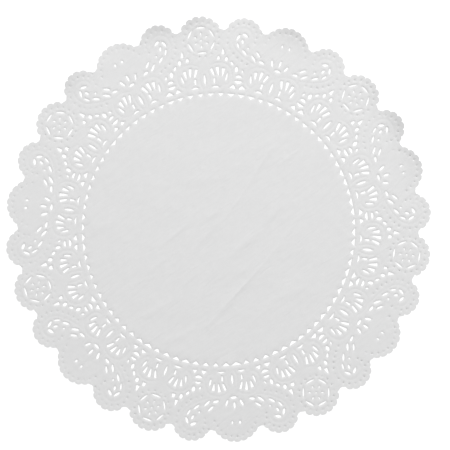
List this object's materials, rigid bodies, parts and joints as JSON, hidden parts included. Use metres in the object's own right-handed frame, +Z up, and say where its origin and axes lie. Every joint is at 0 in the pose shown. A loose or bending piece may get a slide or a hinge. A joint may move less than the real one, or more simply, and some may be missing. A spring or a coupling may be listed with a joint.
{
  "type": "paper doily",
  "caption": "Round scalloped doily die cut and embossed from one sheet of white paper, lying flat, with a lace border round a plain middle.",
  "frame": {"origin": "middle of the underside, where the doily lies on a table", "axes": "+Z up out of the paper, +Y through the middle of one rosette scallop, +X to the right of it seen from above"},
  "size_m": [0.2536, 0.2538, 0.0039],
  "materials": {
    "paper": "matte"
  },
  "bodies": {
    "root": {"doily": "paper"}
  },
  "joints": []
}
